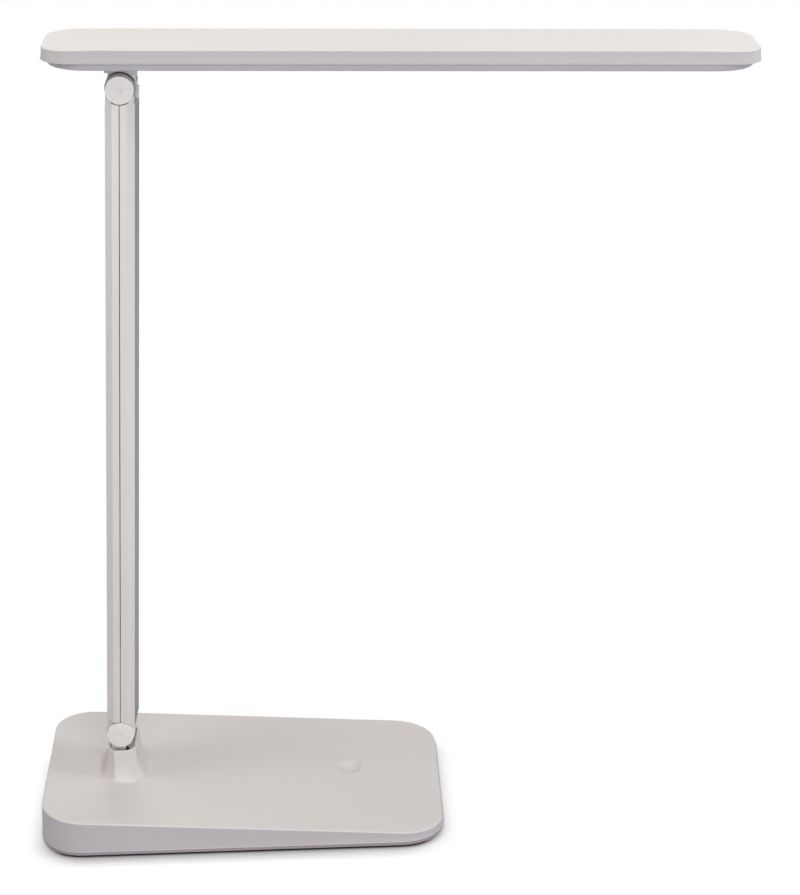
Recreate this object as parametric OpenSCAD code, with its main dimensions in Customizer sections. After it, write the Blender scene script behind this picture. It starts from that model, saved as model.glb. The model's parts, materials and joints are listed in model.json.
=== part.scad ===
// Folding LED desk lamp: a weighted wedge base, an eight-sided arm and a flat lamp head,
// joined by two friction hinges. X runs along the head to its tip, Y points to the back, Z is up.

/* [Pose in the photo] */
// Lean of the arm towards the head's tip, degrees
arm_lean = 3; // [0:0.5:8]
// Droop of the lamp head's tip below level, degrees
head_droop = 1.5; // [0:0.5:4]

/* [Base] */
// Length of the base
base_w = 160; // [150:1:190]
// Depth of the base
base_d = 100; // [92:1:120]
// Radius of the base's corners in plan
base_corner_r = 17; // [14:1:22]
// Height of the top edge at the thick end
base_h_left = 16; // [15.5:0.1:18]
// Height of the top edge at the thin end
base_h_right = 5.1; // [5:0.1:7]
// Wall of the base's top shell
base_wall = 1.8; // [1.5:0.1:2.4]
// Thickness of the base's top face
base_top_t = 2; // [1.6:0.1:2.4]
// Thickness of the bottom cover
cover_t = 1.4; // [1.2:0.1:1.8]
// Inset of the bottom cover from the base's outline
cover_inset = 1.2; // [0.8:0.1:1.6]
// Height of the rubber feet
foot_h = 0.8; // [0.6:0.1:1.2]
// Diameter of the rubber feet
foot_d = 12; // [8:0.5:14]
// Diameter of the touch dish in the top face
dish_d = 10.8; // [8:0.2:14]
// Depth of the touch dish
dish_depth = 0.6; // [0.4:0.1:0.8]
// Distance from the base's thin end to the middle of the touch dish
dish_inset = 37; // [33:0.5:42]
// Distance of the touch dish behind the base's middle
dish_back = 5.3; // [0:0.1:12]

/* [Pedestal] */
// Distance from the base's thick end to the lower hinge
pivot_inset = 31; // [30:0.5:36]
// Height of the lower hinge above the desk
pivot_h = 34; // [32:0.5:40]
// Drop from a hinge's axis to the ledge below it
ledge_drop = 7; // [6.8:0.1:8]
// Spread of the pedestal's foot to each side
flare_w = 4; // [2:0.25:5]
// Spread of the pedestal's foot to the front and back
flare_d = 2.5; // [1.5:0.25:4]
// Height of the pedestal's flare above the base's top face
flare_h = 10.5; // [7:0.5:11]

/* [Arm] */
// Distance between the two hinge axes
arm_l = 265; // [262:1:300]
// Width of the arm, side to side
arm_w = 11.5; // [11.3:0.1:12.5]
// Depth of the arm, front to back
arm_d = 24; // [23.6:0.1:26]
// Width of the arm's long chamfers
chamfer_w = 2.7; // [2.2:0.1:3.2]
// Depth of the arm's long chamfers
chamfer_d = 3.2; // [2.6:0.1:3.8]
// Wall of the arm's half shells
arm_wall = 1.3; // [1.1:0.1:1.5]
// Length of the hinge blocks held inside the arm
block_l = 32; // [24:1:44]

/* [Hinges] */
// Diameter of the hinge bolts
axle_d = 4; // [3.4:0.1:4.4]
// Diameter of the hinge cap discs
cap_d = 10.6; // [10.2:0.1:11]
// Thickness of the hinge cap discs
cap_t = 4; // [3.8:0.1:4.4]
// Thickness of the fork's ears
ear_t = 3.7; // [3.2:0.1:3.9]
// Thickness of the friction washers
washer_t = 0.4; // [0.3:0.1:0.6]
// Width of the wire gap through the middle of a hinge
wire_gap = 2.8; // [2.6:0.1:3.2]
// Diameter of the two-core lead
lead_d = 2.2; // [1.8:0.1:2.3]

/* [Lamp head] */
// Length of the head behind the upper hinge
head_left = 28.5; // [26:0.5:32]
// Length of the head ahead of the upper hinge
head_right = 238; // [215:1:240]
// Depth of the head, front to back
head_d = 40; // [39:0.5:46]
// Radius of the head's corners in plan
head_corner_r = 11; // [8:0.5:13]
// Height of the head's top cover
head_cover_h = 5.2; // [5:0.1:6.5]
// Height of the head's tray below the cover
tray_h = 2.9; // [2.7:0.1:3.4]
// Wall of the head's cover
head_wall = 1.4; // [1.2:0.1:1.6]
// Distance from the upper hinge's axis up to the tray
head_rise = 8.8; // [8:0.1:9.5]
// Thickness of the opal diffuser
diffuser_t = 1.6; // [1.4:0.1:1.8]
// Thickness of the light guide
guide_t = 2; // [1.8:0.1:2.4]
// Number of LEDs along each side of the light guide
led_count = 28; // [16:1:36]

/* [Base insides] */
// Gap between the steel ballast plate and the touch board
ballast_gap = 7; // [5:0.5:12]
// Thickness of the steel ballast plate
ballast_t = 3; // [2:0.1:3]
// Length of the driver board
board_w = 42; // [40:1:44]
// Depth of the driver board
board_d = 60; // [56:1:62]
// Thickness of the boards
board_t = 1.2; // [1:0.1:1.4]
// Bore of the inlet for the power plug
jack_bore_d = 5.7; // [5.5:0.1:6]
// Distance from the base's thick end to the middle of the inlet
jack_inset = 24; // [22:0.5:27]

/* [Fits] */
// Gap between a hinge bolt and its bore, on the radius
running_gap = 0.05; // [0.03:0.01:0.08]
// Gap between pieces that slide into each other
slide_gap = 0.1; // [0.08:0.01:0.15]
// Gap between a hinge's ears and the moving end around them
turn_gap = 0.5; // [0.4:0.05:0.6]
// Gap between a hinge cap and the arm's end around it
cap_gap = 0.35; // [0.3:0.05:0.5]

/* [Hidden] */
$fn = 64;

// Everything above the desk stands on the middle of its own outline.
head_top = head_rise + tray_h + head_cover_h;
tip_reach = arm_l * sin(arm_lean) + head_right * cos(head_droop) + head_top * sin(head_droop);
base_x = -(pivot_inset + tip_reach) / 2;
pivot_x = base_x + pivot_inset;
slope = atan((base_h_left - base_h_right) / base_w);
part_z = foot_h + cover_t;
dish_x = base_w - dish_inset;

// Hinge layers, outwards from the middle plane
axle_r = axle_d / 2;
bore_r = axle_r + running_gap;
cap_r = cap_d / 2;
ear_r = arm_w / 2;
tongue_r = ear_r - running_gap;
relief_r = ear_r + turn_gap;
ear_out = arm_d / 2 - cap_t;
ear_in = ear_out - ear_t;
tongue_y = ear_in - washer_t - slide_gap;
cap_relief_r = cap_r + cap_gap;
cap_layer = ear_out + 2 * slide_gap;
stop_drop = 0.65;
stop_z = relief_r - stop_drop;
horn_z = 2;
prong_drop = 2;
block_inset = arm_wall + slide_gap;
block_r = arm_w / 2 - block_inset;
ear_root_right = 1.6;
head_t = 1.6;
head_r = 3.4;
nut_t = 2.2;
nut_r = 3.6;
cap_pocket_r = 4;
cap_pocket = 2.8;
dimple_r = 0.72;
washer_in = 0.8;
leaf_root = 1;
lead_r = lead_d / 2;
lead_play = 0.2;
channel_r = lead_r + lead_play;
lead_clear = 1.5;
lead_start = axle_r + lead_clear;
dowel_r = 1;
dowel_in = 0.6;
dowel_l = arm_w - 2 * dowel_in;
dowel_step = 12;
dowel_y = arm_d / 4;
dowel_zs = [
    for (i = [1, 2]) relief_r + i * dowel_step,
    for (i = [1, 2]) arm_l - ledge_drop - i * dowel_step
];
cut = 1;

// Base insides; the board and the ballast plate keep their gaps to the inlet on the rear wall
touch_board_w = 26;
touch_board_d = 24;
touch_lift = 0.7;
touch_board_z = part_z + touch_lift;
touch_board_t = 1;
stud_in = 3;
stud_r = 1.5;
ribbon_t = 0.5;
ribbon_run = 3;
ribbon_over = 1;
pad_r = 4;
jack_w = 9;
jack_l = 12;
jack_z = 7.2;
jack_h = 9;
jack_nose_r = 3.8;
jack_pin_r = 1;
jack_pin_l = 9;
jack_back = base_d / 2 - base_wall - jack_l;
tail_l = 6;
tail_x = 2.5;
tail_w = 0.8;
tail_t = 0.5;
ballast_x = 17;
ballast_edge = 8;
ballast_jack_gap = 2.2;
ballast_y = ballast_edge - base_d / 2;
ballast_d = jack_back - ballast_jack_gap - ballast_y;
ballast_w = dish_x - touch_board_w / 2 - ballast_gap - ballast_x;
ballast_z = part_z + ballast_t;
board_x = 18;
board_z = 6.4;
board_y = jack_back - tail_l - 2 * slide_gap - board_d / 2;
board_top = board_z + board_t;
board_screw_in = 4;
board_screw_r = 0.85;
board_screw_bite = 1.6;
board_screw_head_r = 1.6;
board_screw_head_h = 0.8;
board_boss_r = 2.4;
coil_r = 3.5;
coil_h = 3;
capacitor_r = 2.5;
capacitor_h = 3.6;
chip_w = 5;
chip_d = 8;
chip_h = 1.5;
relay_w = 7;
relay_h = 1.4;
small_chip_d = 6;
small_chip_h = 1.2;
plug_h = 1;
screw_xs = [13, base_w - 48];
screw_y = base_d / 2 - 14;
screw_r = 1.1;
screw_bite = 3;
screw_head_r = 2.2;
screw_head_h = 0.8;
boss_r = 3;
foot_in = 16;
foot_left_x = 28;

// Head insides, heights in the head's own frame
tray_inset = head_wall + 2 * slide_gap;
tray_top = head_rise + tray_h;
cover_roof_t = 1.4;
cover_ceiling = head_top - cover_roof_t;
lip_t = 1;
lip_h = 1.2;
floor_t = 1;
engine_x0 = 16;
engine_end = 10;
engine_x1 = head_right - engine_end;
engine_l = engine_x1 - engine_x0 - 2 * slide_gap;
window_edge = 2;
window_side = 1;
tray_rim = 2.5;
pocket_y = head_d / 2 - tray_inset - tray_rim;
pocket_floor = head_rise + floor_t;
wire_floor_t = 1.5;
wire_floor = head_rise + wire_floor_t;
wire_x0 = -9;
wire_r = 0.45;
wire_fan = 6;
spreader_t = 0.8;
strip_t = 1;
led_t = 0.8;
led_w = 2.8;
led_h = 1.4;
spreader_y = pocket_y - 2 * slide_gap;
strip_y = spreader_y - spreader_t;
led_y = strip_y - strip_t;
guide_y = led_y - led_t;
window_y = guide_y - window_side;
diffuser_step = 0.8;
diffuser_z = pocket_floor - diffuser_step;
guide_z = diffuser_z + diffuser_t;
film_z = guide_z + guide_t;
film_t = 0.2;
spreader_z = film_z + film_t;
rib_xs = [40, 120, 200];
rib_t = 2;
post_r = 1.5;
post_left_x = 8 - head_left;
post_right_x = head_right - 5.6;
post_y = head_d / 2 - 9;
bracket_side = 0.3;
bracket_y = ear_out - bracket_side;
bracket_chamfer = 1;
bracket_slot = 0.6;
bracket_screw_x = 3.2;
bracket_screw_in = 1.9;
bracket_screw_y = bracket_y - bracket_screw_in;
bracket_screw_r = 0.9;
bracket_screw_bite = 1.8;
bracket_head_r = 1.7;
bracket_head_h = 1;

function octagon(w, d, cw, cd) = [
    [cw - w / 2, -d / 2], [w / 2 - cw, -d / 2], [w / 2, cd - d / 2], [w / 2, d / 2 - cd],
    [w / 2 - cw, d / 2], [cw - w / 2, d / 2], [-w / 2, d / 2 - cd], [-w / 2, cd - d / 2]
];

// The arm's section, moved inwards by t on all eight sides
function arm_section(t = 0) =
    let (k = chamfer_w + chamfer_d - norm([chamfer_w, chamfer_d]))
    octagon(arm_w - 2 * t, arm_d - 2 * t, chamfer_w - t * k / chamfer_d,
        chamfer_d - t * k / chamfer_w);

// The edge of a flat lead that lies along the given points, t thick
function ribbon(points, t) = concat(points, [for (i = [len(points) - 1 : -1 : 0]) points[i] + [0, t]]);

function base_top(x) = base_h_left - x * tan(slope);

module base_frame() translate([base_x, 0, 0]) children();

module lower_hinge_frame() translate([pivot_x, 0, pivot_h]) children();

module arm_frame() lower_hinge_frame() rotate([0, arm_lean, 0]) children();

module upper_hinge_frame() arm_frame() translate([0, 0, arm_l]) children();

module head_frame() upper_hinge_frame() rotate([0, head_droop - arm_lean, 0]) children();

module both_sides() {
    children();
    mirror([0, 1, 0]) children();
}

// A slab from y0 to y1 of a shape drawn in X and Z
module y_slab(y0, y1) translate([0, y1, 0]) rotate([90, 0, 0]) linear_extrude(y1 - y0) children();

// A rounded plate from x0 to x1, d deep and h high
module plate(x0, x1, d, r, h) {
    w = x1 - x0;
    translate([x0, -d / 2, 0]) linear_extrude(h) union() {
        translate([r, 0]) square([w - 2 * r, d]);
        translate([0, r]) square([w, d - 2 * r]);
        for (x = [r, w - r], y = [r, d - r]) translate([x, y]) circle(r);
    }
}

// A rod along the given points, with round joints
module rod(points, r) {
    for (i = [0 : len(points) - 2]) {
        step = points[i + 1] - points[i];
        translate(points[i])
            rotate([0, acos(step.z / norm(step)), atan2(step.y, step.x)])
            cylinder(r = r, h = norm(step));
    }
    for (i = [1 : 1 : len(points) - 2]) translate(points[i]) sphere(r);
}

// ---------- Hinge parts, each about its own axis along Y ----------

module hinge_ears() both_sides() difference() {
    y_slab(ear_in, ear_out) union() {
        circle(ear_r);
        translate([-block_r, -ledge_drop]) square([block_r + ear_root_right, ledge_drop]);
    }
    y_slab(ear_in - cut, ear_out + cut) circle(bore_r);
}

module hinge_leaves() both_sides() y_slab(wire_gap / 2, tongue_y) union() {
    circle(tongue_r);
    translate([-block_r, 0]) square([2 * block_r, relief_r + leaf_root]);
}

// The space that a moving end leaves free: wider around the ears than around the caps,
// and cut level on the left
module hinge_relief() {
    y_slab(-cap_layer, cap_layer) circle(relief_r);
    y_slab(-arm_d, arm_d) union() {
        circle(cap_relief_r);
        translate([-arm_w, -arm_w]) square([arm_w, arm_w + stop_z]);
    }
}

module hinge_bolt() {
    y_slab(-ear_out - head_t, -ear_out) circle(head_r);
    y_slab(-ear_out, ear_out + nut_t) circle(axle_r);
}

module hinge_nut() difference() {
    y_slab(ear_out, ear_out + nut_t) circle(nut_r, $fn = 6);
    y_slab(ear_out - cut, ear_out + nut_t + cut) circle(bore_r);
}

module hinge_washers() both_sides() difference() {
    y_slab(ear_in - washer_t, ear_in) circle(ear_r - washer_in);
    y_slab(ear_in - cut, ear_in + cut) circle(bore_r);
}

module hinge_cap() difference() {
    y_slab(ear_out, ear_out + cap_t) circle(cap_r);
    y_slab(ear_out - cut, ear_out + cap_pocket) circle(cap_pocket_r);
    translate([0, ear_out + cap_t, 0]) sphere(dimple_r);
}

// ---------- Base ----------

// The wedge of the base, with its sides moved in and its top face moved down
module base_wedge(inset, drop) difference() {
    translate([0, 0, part_z])
        plate(inset, base_w - inset, base_d - 2 * inset, base_corner_r - inset, base_h_left);
    translate([0, 0, base_h_left - drop]) rotate([0, slope, 0])
        translate([-base_w / 2, -base_d, 0]) cube([2 * base_w, 2 * base_d, 2 * base_h_left]);
}

// The pedestal's eight-sided column, whose foot spreads in a quarter curve
module pedestal() {
    foot_z = base_top(pivot_inset) - base_top_t / 2;
    flare_top = base_top(pivot_inset) + flare_h;
    steps = 10;
    rings = concat(
        [for (i = [0 : steps]) let (t = i / steps, k = 1 - sqrt(1 - pow(1 - t, 2)))
            [foot_z + t * (flare_top - foot_z), k]],
        [[pivot_h - ledge_drop, 0]]
    );
    n = 8;
    last = len(rings) - 1;
    polyhedron(
        points = [for (r = rings)
            for (p = octagon(arm_w + 2 * flare_w * r[1], arm_d + 2 * flare_d * r[1],
                chamfer_w + flare_w * r[1] / 3, chamfer_d + flare_d * r[1] / 3))
            [p.x, p.y, r[0]]],
        faces = concat(
            [[for (i = [0 : n - 1]) i]],
            [for (k = [0 : last - 1], i = [0 : n - 1])
                [k * n + i, (k + 1) * n + i, (k + 1) * n + (i + 1) % n]],
            [for (k = [0 : last - 1], i = [0 : n - 1])
                [k * n + i, (k + 1) * n + (i + 1) % n, k * n + (i + 1) % n]],
            [[for (i = [n - 1 : -1 : 0]) last * n + i]]
        )
    );
}

module base_bosses() {
    for (x = screw_xs) both_sides() translate([x, screw_y, part_z])
        cylinder(r = boss_r, h = base_h_left);
    board_screw_places(board_top) cylinder(r = board_boss_r, h = base_h_left);
}

module base_pilots() {
    for (x = screw_xs) both_sides() translate([x, screw_y, 0])
        cylinder(r = screw_r + running_gap, h = part_z + screw_bite + 2 * slide_gap);
    board_screw_places(0) cylinder(r = board_screw_r + running_gap,
        h = board_top + board_screw_bite + 2 * slide_gap);
}

module board_screw_places(z) translate([board_x, board_y, z])
    for (x = [board_screw_in, board_w - board_screw_in]) both_sides()
        translate([x, board_d / 2 - board_screw_in, 0]) children();

module base_top_shell() {
    dish_ball = (pow(dish_d / 2, 2) + pow(dish_depth, 2)) / (2 * dish_depth);
    color("gainsboro") {
        base_frame() difference() {
            union() {
                difference() {
                    base_wedge(0, 0);
                    difference() {
                        translate([0, 0, -0.5]) base_wedge(base_wall, base_top_t - 0.5);
                        base_bosses();
                    }
                }
                translate([pivot_inset, 0, 0]) pedestal();
            }
            base_pilots();
            translate([pivot_inset, 0, 0]) cylinder(r = channel_r, h = pivot_h);
            translate([0, 0, base_h_left]) rotate([0, slope, 0])
                translate([dish_x / cos(slope), dish_back, dish_ball - dish_depth])
                sphere(dish_ball, $fn = 200);
            translate([jack_inset, base_d / 2 + cut, jack_z]) rotate([90, 0, 0])
                cylinder(r = jack_nose_r + slide_gap, h = base_wall + 2 * cut);
        }
        lower_hinge_frame() hinge_ears();
    }
}

module base_bottom_cover() color("dimgray") base_frame() difference() {
    union() {
        translate([0, 0, foot_h]) plate(cover_inset, base_w - cover_inset,
            base_d - 2 * cover_inset, base_corner_r - cover_inset, cover_t);
        for (x = [-1, 1] * (touch_board_w / 2 - stud_in)) both_sides()
            translate([dish_x + x, touch_board_d / 2 - stud_in, foot_h])
            cylinder(r = stud_r, h = touch_board_z - foot_h);
    }
    for (x = screw_xs) both_sides() translate([x, screw_y, 0]) {
        cylinder(r = screw_r + running_gap, h = 2 * part_z);
        cylinder(r = screw_head_r + slide_gap, h = foot_h + screw_head_h);
    }
}

module base_screws() color("silver") base_frame()
    for (x = screw_xs) both_sides() translate([x, screw_y, foot_h]) {
        cylinder(r = screw_head_r, h = screw_head_h);
        cylinder(r = screw_r, h = cover_t + screw_bite);
    }

module rubber_feet() color("black") base_frame()
    for (x = [foot_left_x, base_w - foot_in]) both_sides()
        translate([x, base_d / 2 - foot_in, 0]) cylinder(d = foot_d, h = foot_h);

module ballast_plate() color("slategray") base_frame()
    translate([ballast_x, ballast_y, part_z]) cube([ballast_w, ballast_d, ballast_t]);

module driver_board() color("darkgreen") base_frame() difference() {
    translate([board_x, board_y - board_d / 2, board_z]) cube([board_w, board_d, board_t]);
    board_screw_places(0) cylinder(r = board_screw_r + running_gap, h = base_h_left);
}

// Two columns of parts, each in the middle of its share of the board
module driver_components() color("dimgray") base_frame() translate([board_x, board_y, board_top]) {
    translate([board_w / 6, -board_d / 4, 0]) cylinder(r = coil_r, h = coil_h);
    translate([board_w / 6, board_d / 4, 0]) cylinder(r = capacitor_r, h = capacitor_h);
    translate([board_w / 6 - chip_w / 2, -chip_d / 2, 0]) cube([chip_w, chip_d, chip_h]);
    translate([board_w * 0.6, board_d / 6, 0]) cube([chip_w, small_chip_d, small_chip_h]);
    translate([board_w * 0.6, -board_d / 3, 0]) cube([relay_w, relay_w, relay_h]);
    translate([board_w * 0.8, -chip_d / 2, 0]) cube([chip_w, chip_d, plug_h]);
}

module driver_board_screws() color("silver") base_frame() {
    board_screw_places(board_z) cylinder(r = board_screw_r, h = board_t + board_screw_bite);
    board_screw_places(board_z - board_screw_head_h)
        cylinder(r = board_screw_head_r, h = board_screw_head_h);
}

module touch_board() color("darkgreen") base_frame()
    translate([dish_x - touch_board_w / 2, -touch_board_d / 2, touch_board_z])
    cube([touch_board_w, touch_board_d, touch_board_t]);

// A conductive foam pad that fills the height between the touch board and the top shell
module touch_pad() color("darkgray") base_frame() intersection() {
    translate([dish_x, dish_back, touch_board_z + touch_board_t])
        cylinder(r = pad_r, h = base_h_left);
    translate([0, 0, -0.5]) base_wedge(base_wall, base_top_t - 0.5 + slide_gap);
}

module touch_lead() color("firebrick") base_frame() y_slab(0, lead_d) polygon(ribbon([
    [board_x + board_w, board_top - board_t / 2],
    [board_x + board_w + ribbon_run, ballast_z + slide_gap],
    [ballast_x + ballast_w + ribbon_over, ballast_z + slide_gap],
    [dish_x - touch_board_w / 2, touch_board_z + touch_board_t / 4]
], ribbon_t));

module power_inlet() color("black") base_frame() translate([jack_inset, base_d / 2, jack_z]) {
    difference() {
        union() {
            translate([-jack_w / 2, -base_wall - jack_l, -jack_h / 2]) cube([jack_w, jack_l, jack_h]);
            rotate([90, 0, 0]) cylinder(r = jack_nose_r, h = base_wall + cut);
        }
        translate([0, cut, 0]) rotate([90, 0, 0]) cylinder(d = jack_bore_d, h = jack_pin_l + cut);
    }
    translate([0, -cut, 0]) rotate([90, 0, 0]) cylinder(r = jack_pin_r, h = jack_pin_l);
    for (x = [-1, 1] * tail_x)
        translate([x - tail_w / 2, -base_wall - jack_l - tail_l, board_top - jack_z])
        cube([tail_w, tail_l + slide_gap, tail_t]);
}

module base_lead() color("dimgray") base_frame()
    translate([pivot_inset, 0, board_top])
    cylinder(r = lead_r, h = pivot_h - lead_start - board_top);

module lower_hinge_bolt() color("silver") lower_hinge_frame() hinge_bolt();

module lower_hinge_nut() color("silver") lower_hinge_frame() hinge_nut();

module lower_friction_washers() color("goldenrod") lower_hinge_frame() hinge_washers();

module lower_front_cap() color("whitesmoke") lower_hinge_frame() mirror([0, 1, 0]) hinge_cap();

module lower_rear_cap() color("whitesmoke") lower_hinge_frame() hinge_cap();

// ---------- Arm ----------

// The space at the arm's top: level between the prongs, and round about the caps
module arm_top_relief() translate([0, 0, arm_l]) {
    translate([-arm_w, -ear_out, -ledge_drop]) cube([2 * arm_w, 2 * ear_out, arm_w]);
    y_slab(-arm_d, arm_d) circle(cap_relief_r);
}

// One half of the arm's hollow section; side is -1 for the left half and 1 for the right
module arm_shell(side) color("gainsboro") arm_frame() difference() {
    translate([0, 0, horn_z]) linear_extrude(arm_l - prong_drop - horn_z) difference() {
        polygon(arm_section());
        polygon(arm_section(arm_wall));
        translate([side > 0 ? -arm_w : 0, -arm_d]) square([arm_w, 2 * arm_d]);
    }
    hinge_relief();
    arm_top_relief();
    dowel_places() cylinder(r = dowel_r + running_gap, h = dowel_l);
}

module arm_left_shell() arm_shell(-1);

module arm_right_shell() arm_shell(1);

module dowel_places() for (z = dowel_zs, y = [-1, 1] * dowel_y)
    translate([-dowel_l / 2, y, z]) rotate([0, 90, 0]) children();

// A solid block that fills the arm's section from z0 to z1
module hinge_block(z0, z1) translate([0, 0, z0]) linear_extrude(z1 - z0)
    polygon(arm_section(block_inset));

module arm_lower_tongue() color("silver") arm_frame() difference() {
    union() {
        difference() {
            hinge_block(horn_z, relief_r + block_l);
            hinge_relief();
        }
        hinge_leaves();
    }
    y_slab(-wire_gap / 2, wire_gap / 2)
        translate([-arm_w, -arm_w]) square([2 * arm_w, arm_w + relief_r + leaf_root]);
    cylinder(r = channel_r, h = arm_l);
    y_slab(-arm_d, arm_d) circle(bore_r);
    dowel_places() cylinder(r = dowel_r + running_gap, h = dowel_l);
}

module arm_upper_fork() color("silver") arm_frame() difference() {
    union() {
        difference() {
            hinge_block(arm_l - ledge_drop - block_l, arm_l - prong_drop);
            arm_top_relief();
        }
        translate([0, 0, arm_l]) hinge_ears();
    }
    cylinder(r = channel_r, h = arm_l);
    dowel_places() cylinder(r = dowel_r + running_gap, h = dowel_l);
}

module arm_dowels() color("silver") arm_frame() dowel_places()
    cylinder(r = dowel_r, h = dowel_l);

module arm_lead() color("dimgray") arm_frame() translate([0, 0, lead_start])
    cylinder(r = lead_r, h = arm_l - 2 * lead_start);

module upper_hinge_bolt() color("silver") upper_hinge_frame() hinge_bolt();

module upper_hinge_nut() color("silver") upper_hinge_frame() hinge_nut();

module upper_friction_washers() color("goldenrod") upper_hinge_frame() hinge_washers();

module upper_front_cap() color("whitesmoke") upper_hinge_frame() mirror([0, 1, 0]) hinge_cap();

module upper_rear_cap() color("whitesmoke") upper_hinge_frame() hinge_cap();

// ---------- Lamp head ----------

module head_plate(inset, z0, z1) translate([0, 0, z0])
    plate(inset - head_left, head_right - inset, head_d - 2 * inset, head_corner_r - inset, z1 - z0);

module head_posts(r, z0) for (x = [post_left_x, post_right_x]) both_sides()
    translate([x, post_y, z0]) cylinder(r = r, h = cover_ceiling - z0);

module head_cover() color("whitesmoke") head_frame() union() {
    difference() {
        head_plate(0, tray_top, head_top);
        head_plate(head_wall, tray_top - cut, cover_ceiling);
    }
    head_posts(post_r, pocket_floor + slide_gap);
    for (x = rib_xs) translate([x, -window_y, spreader_z + spreader_t])
        cube([rib_t, 2 * window_y, cover_ceiling - spreader_z - spreader_t]);
}

module head_tray() color("gainsboro") head_frame() difference() {
    union() {
        head_plate(tray_inset, head_rise, tray_top);
        difference() {
            head_plate(head_wall + slide_gap, tray_top, tray_top + lip_h);
            head_plate(head_wall + slide_gap + lip_t, tray_top - cut, tray_top + lip_h + cut);
        }
    }
    translate([engine_x0, -pocket_y, pocket_floor])
        cube([engine_x1 - engine_x0, 2 * pocket_y, tray_h]);
    translate([wire_x0, -pocket_y, wire_floor])
        cube([engine_x0 - wire_x0 + cut, 2 * pocket_y, tray_h]);
    translate([engine_x0 + window_edge, -window_y, head_rise - cut])
        cube([engine_x1 - engine_x0 - 2 * window_edge, 2 * window_y, tray_h]);
    head_posts(post_r + slide_gap, pocket_floor);
    translate([0, 0, head_rise - cut]) cylinder(r = channel_r, h = tray_h);
    bracket_screw_places() cylinder(r = bracket_screw_r + running_gap, h = 2 * tray_h);
}

module bracket_screw_places() for (x = [-1, 1] * bracket_screw_x) both_sides()
    translate([x, bracket_screw_y, head_rise - bracket_screw_bite]) children();

module head_bracket() color("silver") head_frame() difference() {
    union() {
        difference() {
            linear_extrude(head_rise) polygon(
                octagon(arm_w, 2 * bracket_y, bracket_chamfer, bracket_chamfer));
            translate([-arm_w, -arm_d, 0]) cube([3 * arm_w, 2 * arm_d, horn_z]);
            hinge_relief();
        }
        hinge_leaves();
    }
    y_slab(-wire_gap / 2, wire_gap / 2)
        translate([-arm_w, -arm_w]) square([2 * arm_w, arm_w + relief_r + bracket_slot]);
    cylinder(r = channel_r, h = head_top);
    y_slab(-arm_d, arm_d) circle(bore_r);
    bracket_screw_places() cylinder(r = bracket_screw_r + running_gap, h = tray_h);
}

module bracket_screws() color("silver") head_frame() bracket_screw_places() {
    cylinder(r = bracket_screw_r, h = bracket_screw_bite + wire_floor_t);
    translate([0, 0, bracket_screw_bite + wire_floor_t])
        cylinder(r = bracket_head_r, h = bracket_head_h);
}

module diffuser() color("white") head_frame() {
    translate([engine_x0 + window_edge + slide_gap, slide_gap - window_y, diffuser_z])
        cube([engine_l - 2 * window_edge, 2 * (window_y - slide_gap), diffuser_t]);
    engine_slab(guide_y, pocket_floor, guide_z - pocket_floor);
}

module engine_slab(half, z, t) translate([engine_x0 + slide_gap, -half, z])
    cube([engine_l, 2 * half, t]);

module light_guide() color("lightcyan") head_frame() engine_slab(guide_y, guide_z, guide_t);

module reflector_film() color("white") head_frame() engine_slab(guide_y, film_z, film_t);

module led_strips() color("ivory") head_frame() both_sides()
    translate([engine_x0 + slide_gap, led_y, pocket_floor + slide_gap])
    cube([engine_l, strip_t, spreader_z - pocket_floor - slide_gap]);

module leds() color("khaki") head_frame() both_sides()
    for (i = [0 : led_count - 1])
        translate([engine_x0 + (engine_x1 - engine_x0) * (i + 0.5) / led_count - led_w / 2,
            guide_y, guide_z + guide_t / 2 - led_h / 2]) cube([led_w, led_t, led_h]);

module heat_spreader() color("lightgray") head_frame() {
    engine_slab(spreader_y, spreader_z, spreader_t);
    both_sides() translate([engine_x0 + slide_gap, strip_y, pocket_floor + slide_gap])
        cube([engine_l, spreader_t, spreader_z - pocket_floor - slide_gap]);
}

module head_lead() color("dimgray") head_frame() {
    bend_z = wire_floor + lead_r;
    translate([0, 0, lead_start]) cylinder(r = lead_r, h = bend_z - lead_start);
    translate([0, 0, bend_z]) sphere(lead_r);
    both_sides() rod([
        [0, 0, bend_z], [engine_x0 - wire_fan, 0, bend_z],
        [engine_x0 - wire_fan / 2, led_y + strip_t / 2, bend_z],
        [engine_x0 + slide_gap, led_y + strip_t / 2, bend_z]
    ], wire_r);
}

base_top_shell();
base_bottom_cover();
base_screws();
rubber_feet();
ballast_plate();
driver_board();
driver_components();
driver_board_screws();
touch_board();
touch_pad();
touch_lead();
power_inlet();
base_lead();
lower_hinge_bolt();
lower_hinge_nut();
lower_friction_washers();
lower_front_cap();
lower_rear_cap();
arm_left_shell();
arm_right_shell();
arm_lower_tongue();
arm_upper_fork();
arm_dowels();
arm_lead();
upper_hinge_bolt();
upper_hinge_nut();
upper_friction_washers();
upper_front_cap();
upper_rear_cap();
head_cover();
head_tray();
head_bracket();
bracket_screws();
diffuser();
light_guide();
reflector_film();
led_strips();
leds();
heat_spreader();
head_lead();
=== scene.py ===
"""Folding LED desk lamp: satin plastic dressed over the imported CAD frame.

Lengths are in millimetres until a mesh is made. X runs along the head to its tip,
Y points to the back and Z is up, as in the CAD.
"""

import json

import bmesh
import bpy
import numpy as np
from mathutils import Matrix, Vector

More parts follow.
